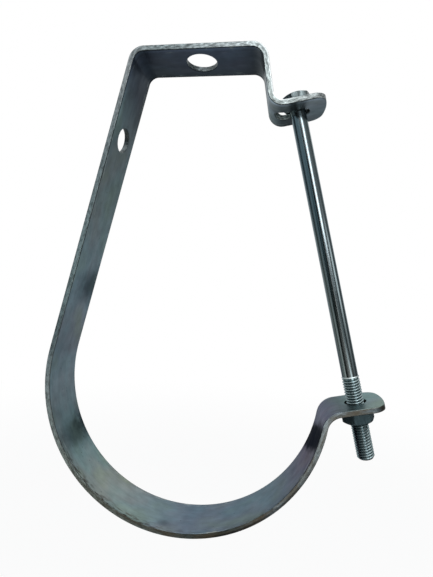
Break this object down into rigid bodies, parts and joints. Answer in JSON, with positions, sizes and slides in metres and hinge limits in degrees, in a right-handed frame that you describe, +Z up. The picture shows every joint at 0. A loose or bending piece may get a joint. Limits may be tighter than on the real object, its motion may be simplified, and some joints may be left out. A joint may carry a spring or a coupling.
{
  "type": "j pipe hanger",
  "caption": "J-shaped pipe hanger: a bent flat strap that cradles a horizontal pipe below a hanging rod, its open side closed by a long hexagon-head bolt and nut.",
  "frame": {"origin": "middle of the rod hole, on the top face of the top plate", "axes": "+Z up along the hanging rod, +X towards the side bolt, +Y along the pipe"},
  "size_m": [0.1991, 0.03, 0.2839],
  "materials": {
    "zinc_strap": "bright zinc plating on rolled strip, blue-grey, lightly scuffed",
    "zinc_bolt": "bright zinc plating, shiny, drawn lengthwise",
    "zinc_nut": "bright zinc plating"
  },
  "bodies": {
    "hanger": {"strap": "zinc_strap"},
    "bolt": {"side_bolt": "zinc_bolt"},
    "nut": {"hex_nut": "zinc_nut"}
  },
  "joints": [
    {"name": "bolt_turn", "type": "hinge", "parent": "hanger", "child": "bolt", "pos_m": [0.10009, 0, -0.2008], "axis": [-0.2406, 0, 0.9706], "range_deg": [0, 6840]},
    {"name": "nut_travel", "type": "slide", "parent": "hanger", "child": "nut", "axis": [0.2406, 0, -0.9706], "range_m": [0, 0.0285]}
  ],
  "couplings": [
    {"joint": "nut_travel", "follows": "bolt_turn", "m_per_rad": 0.00023873}
  ]
}
